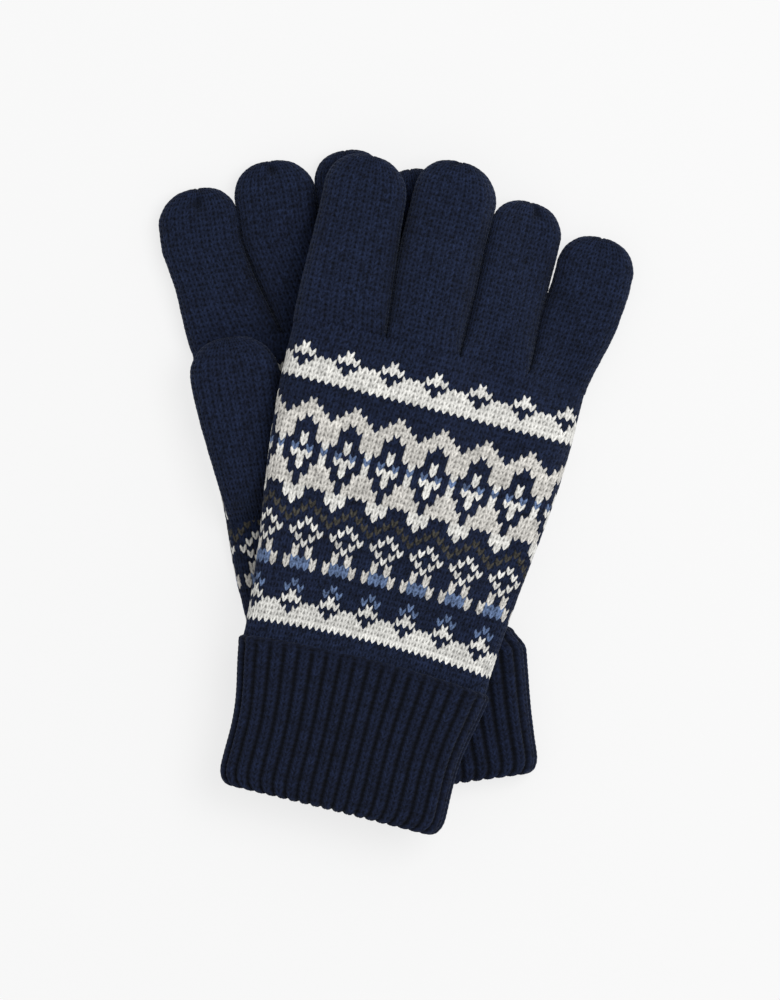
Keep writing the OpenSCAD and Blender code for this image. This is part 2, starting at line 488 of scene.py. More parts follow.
def knit(
    tube: Tube,
    wales: tuple[int, int],
    rows: tuple[int, int],
    stitch: Stitch,
    paint: Callable[[Array, Array], Array],
    gather: Callable[[Array, Array], tuple[Array, Array]] | None = None,
    taper: int = 0,
) -> Surface:
    """Knits the part of a tube between two wales and two rows.

    The grid's rows climb and fall with the V of each stitch, so that a change of yarn
    follows the stitches' own edges. Each point is moved out along the tube's normal by
    the height of the yarn there.

    Args:
        tube: the tube to knit.
        wales, rows: first and last.
        stitch: its shape and fineness.
        paint: gives the colour of a stitch from its wale and row.
        gather: gives folds and their painted shade from wale and row, where the end is drawn in.
        taper: rows over which the Vs flatten at the far end.

    Returns:
        The surface. It wraps if the wales go all the way round.
    """
    wraps = wales[1] - wales[0] == tube.wales
    nx, ny = stitch.across, stitch.along
    count = (wales[1] - wales[0]) * nx
    i = np.arange(count) if wraps else np.arange(-1, count + 2)
    j = np.arange((rows[1] - rows[0]) * ny + 1)
    wale = wales[0] + i / nx
    arm = np.abs(2 * ((i / nx) % 1.0) - 1)
    flat = np.clip((j[-1] - j) / (ny * taper), 0, 1) if taper else np.ones(len(j))
    row = rows[0] + j[:, None] / ny + stitch.chevron(arm)[None, :] * flat[:, None]
    wale = np.broadcast_to(wale[None, :], row.shape)
    base = tube.point(wale, row)
    normal = slopes_to_normals(base, wraps, False)
    crown = stitch.crown(arm[None, :], ((j / ny) % 1.0)[:, None]) * mix(0.45, 1.0, flat[:, None])
    lift = stitch.relief * (crown * unevenness(wale, row, tube.seed + 5) - stitch.bed)
    # Painted shade: the yarn's height stands in for the shade that falls between stitches, darker
    # lower down.
    hollow = np.broadcast_to(crown, row.shape).copy()
    if gather:
        fold, shade = gather(wale, row)
        lift, hollow = lift - fold, hollow * shade
    points = off_table(base + normal * lift[..., None])
    if not wraps:
        points, hollow, i = points[:, 1:-1], hollow[:, 1:-1], i[1:-1]
    cells = np.arange(count)
    colours = paint((wales[0] + cells // nx)[None, :], (rows[0] + j[:-1] // ny)[:, None])
    return Surface(points, hollow, colours, wraps=wraps)


# ---------------------------------------------------------------- the parts of a glove


@dataclass
class Hand(Tube):
    """The hand, from inside the cuff to the finger roots, with the colour pattern.

    Fields:
        twist: wales that it leans towards the little finger from wrist to knuckles.
        repeat_at: stitch of the chart's repeat that its first wale shows.
        wrist, knuckles: widths, which pass into each other over `widens`.
        cuff_thick: thickness of the cuff.
        tuck: where it is drawn in to meet the ribbing, by tuck_width, tuck_thick and
            tuck_low in width, thickness and underside.
        spread_foot, spread_top, spread: where, and how much of the flare, it spreads.
        settles: where its underside comes down from the cuff's middle to the table.
        drops: how far its middle moves to the thumb's side by the finger roots.
        crown: how far its top is crowned.
        twist_from, twist_over: where up the hand the leaning is counted from, and over
            what length it goes.
    """

    place: Place
    thick: float
    seed: int
    twist: float
    repeat_at: int
    cell: Stitch
    wales: int = 84
    wrist: float = 87.0
    knuckles: float = 104.6
    length: float = 115.0
    cuff_thick: float = 13.8
    row_pitch: float = 2.05
    chart_from: float = 9.4
    first_row: int = -4
    last_row: int = 53
    tuck: Slope = Slope(3.0, -3.2)
    tuck_width: float = 3.2
    tuck_thick: float = 2.4
    tuck_low: float = 1.2
    widens: Slope = Slope(0.0, 100.0)
    spread_foot: Slope = Slope(0.0, 20.0)
    spread_top: Slope = Slope(65.0, -35.0)
    spread: float = 0.65
    settles: Slope = Slope(0.0, 14.0)
    drops: float = 0.5
    crown: float = 0.7
    twist_from: float = 21.0
    twist_over: float = 86.0
    sag_depth: float = 0.55
    sag_length: float = 44.0

    def along(self, rows: Array) -> Array:
        """Distance up the hand of a row: the chart's first row starts at chart_from."""
        return self.chart_from + (rows - 1) * self.row_pitch

    def outline(self, rows: Array) -> Outline:
        """Wider at the knuckles, and drawn in below the cuff's edge to meet the ribbing."""
        v = self.along(rows)
        tuck = self.tuck.at(v)
        swell = self.place.flare * self.spread * self.spread_foot.at(v) * self.spread_top.at(v)
        width = mix(self.wrist, self.knuckles, self.widens.at(v)) - self.tuck_width * tuck + swell
        thick = self.thick - self.tuck_thick * tuck
        low = (self.cuff_thick - self.thick) / 2 * (1 - self.settles.at(v)) + self.tuck_low * tuck
        side = thick / 2 * np.ones_like(v)
        middle = -self.drops * v / self.length - swell / 2
        return Outline(middle, v, width, thick, low, side, side, self.crown)

    def drift(self, rows: Array) -> Array:
        """The wales lean a little to the little finger's side on the way up."""
        return self.twist * (1 - (self.along(rows) - self.twist_from) / self.twist_over)

    def colours(self, wale: Array, row: Array) -> Array:
        """The chart's yarn for each stitch, with a little lightness of its own."""
        names = list(CHART_YARNS)
        table = np.array([[names.index(c) for c in line] for line in CHART])
        listed = (row >= 1) & (row <= len(CHART))
        pick = table[np.clip(row - 1, 0, len(CHART) - 1), (wale + self.repeat_at) % 6]
        pick = np.where(listed, pick, 0)
        tint = yarn_colours(list(CHART_YARNS.values()))[pick]
        return tint * shades(*np.broadcast_arrays(wale, row), self.seed)[..., None]

    def sides(self) -> tuple[Surface, Surface]:
        """The face that lies uppermost and the face underneath. They share both edges."""
        half = self.wales // 2
        rows = (self.first_row, self.last_row)
        return (
            knit(self, (0, half), rows, self.cell, self.colours),
            knit(self, (half, self.wales), rows, self.cell, self.colours),
        )


@dataclass(frozen=True)
class Gather:
    """How a digit's tip is drawn in: small folds round it and one deeper tuck on top.

    Fields:
        tuck_at: where the tuck is, as a share of the way round from the left side.
        tuck_from: how far before the last row the tuck begins.
        tuck_depth: how deep it is.
        tuck_width, tuck_ends: its half width in wales, and where it ends again.
        tuck_shade_depth: depth from which the tuck's painted shade is as strong as `tuck_shade`.
        folds, phase: how many small folds there are, and how far round they are turned.
        fold_from, fold_over, fold_depth, fold_shade: where they begin, before the last row,
        how soon they are deep, how deep, and how much painted shade they put on the yarn.
        lean: how far the tip leans sideways.
    """

    tuck_at: float = 0.25
    tuck_from: float = 14.0
    tuck_depth: float = 0.4
    tuck_width: float = 0.7
    tuck_ends: Slope = Slope(6.0, 4.0)
    tuck_shade_depth: float = 1.5
    tuck_shade: float = 0.8
    folds: int = 7
    phase: float = 0.0
    fold_from: float = 7.0
    fold_over: float = 6.0
    fold_depth: float = 0.45
    fold_shade: float = 0.3
    lean: float = 0.0


@dataclass
class Digit(Tube):
    """A finger or thumb: a tube with a gathered, rounded tip.

    Fields:
        root, root_width, free, free_width: middle and width at the root, and further up.
        length, grows: its length, and the part of it over which the width changes.
        start, thick, low: where the root is up the hand, thickness and underside's height.
        tip: how its end is drawn in.
        blunt: length of the rounded tip as a share of its width.
        overlap: how far it reaches back into the hand. Below 0, it begins further up.
        plump: width added where the tube springs apart.
        joined_left, joined_right: whether a side touches the next digit at the root, where
            it is as square as `square` and rounds off by `rounds`.
        thumb: 0 for a finger, 1 for a thumb on top of the palm, -1 for one under it.
        last_turn: how far round the tip the knitting goes, in radians.
        tip_roundness: power of the cosine that the tip narrows by.
        flattens, settles: share of the thickness left at the tip, and share of the rest by
            which the underside rises.
        sunk, sunk_for: how far, and over what length, a thumb's root lies in the palm.
        root_share, root_grows: share of the thickness that a thumb starts with, and the
            length over which it grows.
        crown, crowns: how far the top is crowned, and where that starts.
        dimple: how far the end is drawn in.
    """

    place: Place
    name: str
    root: float
    root_width: float
    free: float
    free_width: float
    length: float
    grows: float
    start: float
    thick: float
    low: float
    seed: int
    tip: Gather
    wales: int = 24
    row_pitch: float = 1.84
    blunt: float = 0.47
    overlap: float = 0.9
    plump: float = 1.2
    joined_left: bool = False
    joined_right: bool = False
    thumb: int = 0
    cell: Stitch = Stitch(relief=0.6)
    last_turn: float = 1.47
    tip_roundness: float = 0.92
    flattens: float = 0.3
    settles: float = 0.42
    sunk: float = 3.4
    sunk_for: float = 10.0
    root_share: float = 0.3
    root_grows: float = 16.0
    square: float = 1.2
    rounds: Slope = Slope(0.0, 15.0)
    crown: float = 0.5
    crowns: Slope = Slope(0.0, 12.0)
    dimple: float = 0.2
    sag_depth: float = 0.4
    sag_length: float = 27.0

    @property
    def end_radius(self) -> float:
        """How long the rounded tip is."""
        return self.blunt * self.free_width

    @property
    def path(self) -> float:
        """Length of knitting from the root, over the rounded tip, to the last row."""
        return self.overlap + self.length - self.end_radius + self.end_radius * self.last_turn

    @property
    def rows(self) -> int:
        """The nearest whole number of rows to that length."""
        return round(self.path / self.row_pitch)

    def travel(self, rows: Array) -> Array:
        """Distance from the root along the knitting."""
        return rows / self.rows * self.path - self.overlap

    def outline(self, rows: Array) -> Outline:
        """Straight at first, then each section shrinks as the cosine of the tip's turn."""
        p = self.travel(rows)
        straight = self.length - self.end_radius
        turn = np.clip((p - straight) / self.end_radius, 0, self.last_turn + 0.05)
        s = np.minimum(p, straight) + self.end_radius * np.sin(turn)
        up = np.maximum(s, 0)
        width = mix(self.root_width, self.free_width, ease(up / self.grows)) + self.plump
        width = width * np.cos(turn) ** self.tip_roundness
        middle = mix(self.root, self.free, np.minimum(1, up / (1.4 * self.grows)))
        middle = middle + self.tip.lean * ease((s - straight) / self.end_radius)
        thin = mix(self.flattens, 1.0, np.cos(turn))
        thick, low = self.thick * thin, self.low + self.thick * (1 - thin) * self.settles
        if self.thumb:
            out = up + self.overlap
            sunk = self.sunk * (1 - ease(out / self.sunk_for))
            swell = mix(self.root_share, 1.0, ease(out / self.root_grows))
            low = low - sunk if self.thumb > 0 else low + thick * (1 - swell) + sunk
            thick = thick * swell
        free_side = thick / 2
        joined = mix(self.square, free_side, self.rounds.at(up))
        left = joined if self.joined_left else free_side
        right = joined if self.joined_right else free_side
        crown = self.crown * self.crowns.at(up)
        return Outline(middle, self.start + s, width, thick, low, left, right, crown)

    def gather(self, wale: Array, row: Array) -> tuple[Array, Array]:
        """Depth of the folds at the tip, and the painted shade they put on the yarn.

        Small folds run round the tip as a cosine of the angle. The tuck is a groove with a
        bell-shaped section that deepens towards the tip.
        """
        tip = self.tip
        past = self.travel(row) - self.path + self.overlap
        near = ease((past + tip.fold_from) / tip.fold_over)
        angle = FULL_TURN * wale / self.wales
        small = near * (0.5 + 0.5 * np.cos(tip.folds * angle + tip.phase))
        off = ((wale / self.wales - tip.tuck_at + 0.5) % 1.0 - 0.5) * self.wales
        into = past + tip.tuck_from
        deep = np.exp(-((off / tip.tuck_width) ** 2))
        deep = deep * ease(into / tip.tuck_ends.run) * (1 - tip.tuck_ends.at(into))
        # Painted shade in the tuck and the small folds, where shade falls at the tip.
        dark = tip.tuck_shade * min(1.0, tip.tuck_depth / tip.tuck_shade_depth)
        depth = tip.fold_depth * small + tip.tuck_depth * deep
        return depth, (1 - tip.fold_shade * small) * (1 - dark * deep)

    def crease_shade(self, shape: tuple[int, int]) -> Array:
        """Painted shade: the yarn is darkened towards a side that touches the next digit, where
        shade falls in the crease.

        Args:
            shape: rows and columns of the knitted grid.
        """
        reach, depth, ends = 0.075, 0.7, Slope(self.length - 8, -20)
        round_it = np.arange(shape[1])[None, :] / shape[1]
        up = self.travel(np.linspace(0, self.rows, shape[0]))[:, None]
        left = np.exp(-((np.minimum(round_it, 1 - round_it) / reach) ** 2)) * self.joined_left
        right = np.exp(-(((round_it - 0.5) / reach) ** 2)) * self.joined_right
        return 1 - depth * (left + right) * ends.at(up)

    def colours(self, wale: Array, row: Array) -> Array:
        """Navy, with a little lightness of each stitch's own."""
        wale, row = np.broadcast_arrays(wale, row)
        return yarn_colours([Yarn.NAVY])[0] * shades(wale, row, self.seed)[..., None]

    def surface(self) -> Surface:
        """The whole digit, closed at its tip and inside its root."""
        made = knit(self, (0, self.wales), (0, self.rows), self.cell, self.colours, self.gather, 3)
        # Painted shade in the creases between touching digits.
        made.hollow = made.hollow * self.crease_shade(made.hollow.shape)
        first, last = made.points[0].mean(0), made.points[-1].mean(0)
        c, s = self.place.heading
        made.poles = (first, last - self.dimple * np.array([s, c, 0]))
        return made


@dataclass
class Cuff:
    """A loop of 1 by 1 ribbing: an outer wall, a rolled edge, an inner wall and a fold.

    Fields:
        place: where the glove lies.
        top, bottom: distance up the hand of its two ends.
        inset: how far inside the cuff's outside it lies.
        wall: thickness of the ribbing.
        relief: height of a rib above the grooves, on the outer and the inner wall.
        skin: how far the smooth wall lies inside the yarn's crowns.
        fine: cells along a row, on the outer and the inner wall.
        across: cells across a rib.
        top_width, fold_width, thick, length: size of the turned-up cuff, laid flat.
        waist: how much narrower it is halfway.
        flares, flares_at_fold: where the flare ends, and its share at the fold.
        rim_over, rim_round, rim_fill: the rounding of its edge's corners, and fold_ the same
            for the corners of its fold.
        fold_roll: how much thinner it is at the fold.
        rim_bead, rim_at, rim_reach: height, place and reach of the edge's swelling.
        cell: the shape of a stitch.
        rib, groove: widths of a rib's stitches and of its rounded ridge, as shares.
        mean_rib, mean_strand: heights of ridge and yarn that lie on the smooth wall.
        strand, groove_strand: how far the yarn stands up, and its share in a groove.
        crevice_shade: how bright painted shade leaves the yarn between two strands, from 0 to 1.
        edge_reach, edge_relief, edge_shade: how near the edge, and to what shares, the
        ribs become flatter and the painted shade in their grooves weaker.
        sag, uneven: height and length of the wall's soft waves, and share and length of
            the ribs' unevenness.
    """

    place: Place
    seed: int
    top: float
    bottom: float
    inset: float
    wall: float
    relief: tuple[float, float]
    fine: tuple[int, int]
    across: int = 10
    ribs: int = 39
    row_pitch: float = 1.8
    top_width: float = 90.0
    fold_width: float = 80.0
    thick: float = 13.8
    length: float = 48.6
    waist: float = 4.0
    skin: float = 0.25
    flares: float = 9.0
    flares_at_fold: float = 0.4
    rim_over: float = 4.0
    rim_round: float = 3.0
    rim_fill: float = 0.9
    fold_over: float = 7.0
    fold_round: float = 6.5
    fold_fill: float = 0.92
    fold_roll: float = 0.9
    rim_bead: float = 0.45
    rim_at: float = 1.4
    rim_reach: float = 1.3
    cell: Stitch = Stitch(rise=0.8)
    rib: float = 0.72
    groove: float = 0.84
    mean_rib: float = 0.75
    mean_strand: float = 0.6
    strand: float = 0.5
    groove_strand: float = 0.6
    crevice_shade: float = 0.2
    edge_reach: float = 4.5
    edge_relief: float = 0.25
    edge_shade: float = 0.3
    sag: tuple[float, float] = (0.3, 23.0)
    uneven: tuple[float, float] = (0.12, 9.0)

    def wall_path(self, p: Array) -> tuple[Array, Array, Array]:
        """Distance up the hand, inset and outwardness at a distance p round the loop.

        The loop runs up the outer wall, over a half circle, down the inner wall and
        round a half circle at the fold.
        """
        r = self.wall / 2
        tall = self.top - self.bottom - 2 * r
        bend = np.pi * r
        p = p % (2 * tall + 2 * bend)
        over = (p - tall) / r
        under = (p - 2 * tall - bend) / r
        on = [p < tall, p < tall + bend, p < 2 * tall + bend]
        low, high = self.bottom + r, self.top - r
        parts = [low + p, high + r * np.sin(over), high - (p - tall - bend)]
        v = np.select(on, parts, low - r * np.sin(under))
        depth = np.select(on, [0 * p, r - r * np.cos(over), 2 * r + 0 * p], r + r * np.cos(under))
        return v, depth, 1 - depth / self.wall

    def outline(self, v: Array, depth: Array) -> Outline:
        """Section at a height: sides drawn in slightly, corners and fold rounded off."""
        share = (v + self.length) / (self.length + self.top)
        width = mix(self.fold_width, self.top_width, share)
        flared = ease((self.top - v) / self.flares) * mix(self.flares_at_fold, 1.0, share)
        spread = self.place.flare * flared
        width = width + spread - (self.waist - spread) * np.sin(np.pi * np.clip(share, 0, 1)) ** 2
        near_rim = np.clip((v - self.top + self.rim_over) / self.rim_over, 0, 1)
        width = width - self.rim_round * (1 - np.sqrt(1 - self.rim_fill * near_rim**3))
        near_fold = np.clip((self.fold_over - self.length - v) / self.fold_over, 0, 1)
        width = width - self.fold_round * (1 - np.sqrt(1 - self.fold_fill * near_fold**3))
        bead = self.rim_bead * np.exp(-(((v - self.top + self.rim_at) / self.rim_reach) ** 2))
        inset = self.inset + depth + self.fold_roll * near_fold**2 - bead + self.skin
        side = self.thick / 2 - inset
        middle = -self.place.lean * v / self.length + spread / 2
        return Outline(middle, v, width - 2 * inset, self.thick - 2 * inset, inset, side, side)

    def surface(self) -> Surface:
        """The ribbing: each rib is a rounded ridge of Vs, and each groove is deep and darkened by
        painted shade.
        """
        r = self.wall / 2
        tall, bend = self.top - self.bottom - 2 * r, np.pi * r
        step = (self.row_pitch / self.fine[0], self.row_pitch / self.fine[1])
        spans = [(0, tall + bend, step[0]), (tall + bend, 2 * tall + bend, step[1])]
        spans.append((2 * tall + bend, 2 * tall + 2 * bend, step[0]))
        p = np.concatenate(
            [np.linspace(a, b, round((b - a) / s), endpoint=False) for a, b, s in spans]
        )
        i = np.arange(self.ribs * self.across)
        groove = np.abs(2 * ((i / self.across) % 1.0) - 1)[None, :]
        arm = np.minimum(groove / self.rib, 1.0)
        at = p[:, None] + self.cell.chevron(arm) * self.row_pitch
        v, depth, outward = self.wall_path(at)
        shape = self.outline(v, depth)
        u, z = shape.at(np.broadcast_to(i[None, :] / i.size, at.shape))
        base = self.place.world(u, v, z + self.sag[0] * ripple(u, v, self.sag[1], self.seed))
        normal = slopes_to_normals(base, True, True)
        rib = np.sqrt(np.maximum(0, 1 - (groove / self.groove) ** 3))
        strand = self.cell.crown(arm, ((p / self.row_pitch) % 1.0)[:, None])
        edge = ease((self.top - v) / self.edge_reach)
        amount = mix(self.relief[1], self.relief[0], outward) * mix(self.edge_relief, 1.0, edge)
        amount = amount * (1 + self.uneven[0] * ripple(u, v, self.uneven[1], self.seed + 3))
        yarn = self.strand * (strand - self.mean_strand) * mix(self.groove_strand, 1.0, rib)
        lift = amount * (rib - self.mean_rib) + yarn
        points = off_table(base + normal * lift[..., None])
        # Painted shade: the grooves and the gaps between strands are darkened where shade falls,
        # less near the rim.
        deep = mix(self.mean_rib, rib, mix(self.edge_shade, 1.0, edge))
        hollow = np.clip(deep, 0, 1) * mix(self.crevice_shade, 1.0, strand)
        wale = np.broadcast_to((i // self.across)[None, :], at.shape)
        row = np.broadcast_to((p // self.row_pitch).astype(int)[:, None], at.shape)
        colours = yarn_colours([Yarn.RIB])[0] * shades(wale, row, self.seed)[..., None]
        return Surface(points, hollow, colours, wraps=True, loops=True)


@dataclass(frozen=True)
class Gusset:
    """A short strip of fabric that closes the hand between two finger roots.

    Fields:
        across, along, foot, head: its middle, and the heights of its ends.
        half_width, half_length: its half sizes at the ends.
        waist, ribbed: shares by which it narrows halfway, and by which its rows stand out.
        shade: how bright painted shade leaves it, from 0 to 1, where it lies between the finger
            roots.
        round_cells, rows: cells round it and up it.
    """

    place: Place
    across: float
    along: float
    foot: float
    head: float
    half_width: float = 1.1
    half_length: float = 2.4
    waist: float = 0.12
    ribbed: float = 0.06
    shade: float = 0.6
    round_cells: int = 24
    rows: int = 14

    def surface(self) -> Surface:
        """An oval column from palm to back, waisted in the middle and closed at both ends.

        Across is the half width times the cosine of the angle, along is the half length
        times its sine, and both shrink a little at half height.
        """
        angle = np.arange(self.round_cells)[None, :] / self.round_cells * FULL_TURN
        up = np.linspace(0, 1, self.rows + 1)[:, None]
        size = 1 - self.waist * np.sin(np.pi * up) + self.ribbed * np.sin(self.rows * np.pi * up)
        u = self.across + self.half_width * size * np.cos(angle)
        v = self.along + self.half_length * size * np.sin(angle)
        z = mix(self.foot, self.head, up) + 0 * angle
        points = self.place.world(u, v, z)
        # Painted shade over the whole strip, which lies in the shade between the finger roots.
        hollow = np.full(points.shape[:2], self.shade)
        colours = np.broadcast_to(yarn_colours([Yarn.NAVY])[0], (self.rows, self.round_cells, 3))
        ends = (points[0].mean(0), points[-1].mean(0))
        return Surface(points, hollow, colours, wraps=True, poles=ends)


@dataclass(frozen=True)
class Knot:
    """The yarn's end, tied in an overhand knot inside a digit's tip.

    Fields:
        size: scale of the knot's path.
        yarn: radius of the yarn.
        steps, sides: cells along the yarn and round it.
    """

    centre: Array
    size: float = 0.36
    yarn: float = 0.42
    steps: int = 72
    sides: int = 10

    def surface(self) -> Surface:
        """A round yarn carried along a three-lobed knot.

        The path is (sin t + 2 sin 2t, cos t - 2 cos 2t, -sin 3t); the yarn's circle lies in
        the plane of the path's normal and of the normal crossed with its direction.
        """
        t = np.arange(self.steps) / self.steps * FULL_TURN
        x, y, z = np.sin(t) + 2 * np.sin(2 * t), np.cos(t) - 2 * np.cos(2 * t), -np.sin(3 * t)
        path = np.stack([x, y, z], axis=1) * self.size
        ahead = np.roll(path, -1, 0) - np.roll(path, 1, 0)
        ahead = ahead / np.linalg.norm(ahead, axis=1, keepdims=True)
        side = np.cross(ahead, np.array([0.0, 0.0, 1.0]))
        side = side / np.linalg.norm(side, axis=1, keepdims=True)
        up = np.cross(side, ahead)
        angle = (np.arange(self.sides) / self.sides * FULL_TURN)[None, :, None]
        ring = side[:, None] * np.cos(angle) - up[:, None] * np.sin(angle)
        points = self.centre + path[:, None] + self.yarn * ring
        hollow = np.ones(points.shape[:2])
        colours = np.broadcast_to(yarn_colours([Yarn.NAVY])[0], (*points.shape[:2], 3))
        return Surface(points, hollow, colours, wraps=True, loops=True)


# ---------------------------------------------------------------- materials


class Value:
    """A value in a material's node tree, so that shader maths reads as an expression."""

    def __init__(self, graph: "Graph", socket: bpy.types.NodeSocket) -> None:
        """Remembers the socket and the graph it is in."""
        self.graph, self.socket = graph, socket

    def _maths(self, operation: str, a: "Value | float", b: "Value | float") -> "Value":
        """A Math node on two values."""
        return self.graph.node("ShaderNodeMath", {"operation": operation}, {0: a, 1: b})

    def __add__(self, other: "Value | float") -> "Value":
        """Sum."""
        return self._maths("ADD", self, other)

    def __sub__(self, other: "Value | float") -> "Value":
        """Difference."""
        return self._maths("SUBTRACT", self, other)

    def __rsub__(self, other: float) -> "Value":
        """Difference from a number."""
        return self._maths("SUBTRACT", other, self)

    def __mul__(self, other: "Value | float") -> "Value":
        """Product."""
        return self._maths("MULTIPLY", self, other)

    __radd__ = __add__
    __rmul__ = __mul__


class Graph:
    """A material's node tree."""

    def __init__(self, name: str) -> None:
        """Starts a material with only its output."""
        self.material = bpy.data.materials.new(name)
        self.material.use_nodes = True
        self.tree = self.material.node_tree
        self.tree.nodes.clear()

    def node(
        self,
        kind: str,
        settings: dict[str, object] | None = None,
        sockets: dict[str | int, object] | None = None,
        out: str | int = 0,
    ) -> Value:
        """Adds a node, with its settings made first.

        Args:
            kind: the node's type.
            settings: its options by name. "stops" are a ramp's positions and colours.
            sockets: numbers, colours or values for its inputs, by name or place.
            out: the output that is wanted.

        Returns:
            That output.
        """
        made = self.tree.nodes.new(kind)
        for key, value in (settings or {}).items():
            if key == "stops":
                ramp = made.color_ramp.elements
                while len(ramp) < len(value):
                    ramp.new(0.5)
                for stop, (at, colour) in zip(ramp, value):
                    stop.position, stop.color = at, colour
            else:
                setattr(made, key, value)
        for key, value in (sockets or {}).items():
            target = made.inputs[key]
            if isinstance(value, Value):
                self.tree.links.new(value.socket, target)
            else:
                target.default_value = value
        if not len(made.outputs):
            return Value(self, made.inputs[0])
        return Value(self, made.outputs[out])


@dataclass(frozen=True)
class Wool:
    """A wool finish, whose colour comes from each stitch's own yarn, darkened by painted shade
    between stitches.

    Fields:
        slot: the record's material slot.
        hollow: how bright painted shade leaves the yarn between stitches, from 0 to 1.
        fleck: how much light and dark fibres are mixed in the yarn.
        sheen, halo, halo_roughness: strength, tint and spread of the soft halo of fibres.
        bump, bump_height: strength and height in metres of the fine fibres.
        fibre_scale, fleck_scale, patch_scale: fineness of fibres, flecks and faded patches.
        contrast: strength of the flecks before they are weighted.
        paler_fleck: how much weaker flecks are in white than in black yarn.
        patchy: how much the lightness of patches differs.
    """

    slot: str
    hollow: float
    fleck: float
    sheen: float
    bump: float
    fibre_scale: float = 1500.0
    fleck_scale: float = 620.0
    patch_scale: float = 45.0
    contrast: float = 3.2
    paler_fleck: float = 0.78
    patchy: float = 0.2
    bump_height: float = 0.0004
    roughness: float = 0.9
    gloss: float = 0.15
    halo_roughness: float = 0.45
    halo: tuple[float, ...] = (0.62, 0.72, 0.95, 1.0)

    def material(self) -> bpy.types.Material:
        """Builds the node tree."""
        g = Graph(self.slot)
        yarn = g.node("ShaderNodeAttribute", {"attribute_name": "yarn"}, out="Color")
        crown = g.node("ShaderNodeAttribute", {"attribute_name": "hollow"}, out="Fac")
        place = g.node("ShaderNodeTexCoord", out="Object")
        noise = "ShaderNodeTexNoise"
        fibre = g.node(noise, sockets={"Vector": place, "Scale": self.fibre_scale, "Detail": 4.0})
        fleck = g.node(noise, sockets={"Vector": place, "Scale": self.fleck_scale, "Detail": 2.0})
        patch = g.node(noise, sockets={"Vector": place, "Scale": self.patch_scale})
        # Painted shade: the colour is darkened between stitches, where shade falls, by the mesh's
        # per-point shade.
        shade = self.hollow + (1 - self.hollow) * crown
        green = g.node("ShaderNodeSeparateColor", sockets={"Color": yarn}, out="Green")
        mixed = (1 - self.paler_fleck * green) * self.fleck
        speck = (fleck - 0.5) * mixed * self.contrast + (fibre - 0.5) * mixed * self.contrast
        shade = shade * (1 + speck) * (1 - self.patchy / 2 + self.patchy * patch)
        colour = g.node(
            "ShaderNodeVectorMath", {"operation": "SCALE"}, {"Vector": yarn, "Scale": shade}
        )
        bump = g.node(
            "ShaderNodeBump",
            sockets={"Height": fibre, "Strength": self.bump, "Distance": self.bump_height},
        )
        skin = g.node(
            "ShaderNodeBsdfPrincipled",
            sockets={
                "Base Color": colour,
                "Roughness": self.roughness,
                "Specular IOR Level": self.gloss,
                "Sheen Weight": self.sheen,
                "Sheen Roughness": self.halo_roughness,
                "Sheen Tint": self.halo,
                "Normal": bump,
            },
        )
        g.node("ShaderNodeOutputMaterial", sockets={"Surface": skin})
        return g.material


FINISHES = {
    w.slot: w
    for w in (
        Wool("patterned_wool", hollow=0.28, fleck=0.7, sheen=0.08, bump=0.6),
        Wool("navy_wool", hollow=0.2, fleck=0.65, sheen=0.1, bump=0.7),
        Wool("ribbed_wool", hollow=0.14, fleck=0.6, sheen=0.08, bump=0.7),
        Wool("yarn_end", hollow=0.5, fleck=0.6, sheen=0.05, bump=0.5),
    )
}


# ---------------------------------------------------------------- gloves


DIGIT_NAMES = ("index", "middle", "ring", "little")


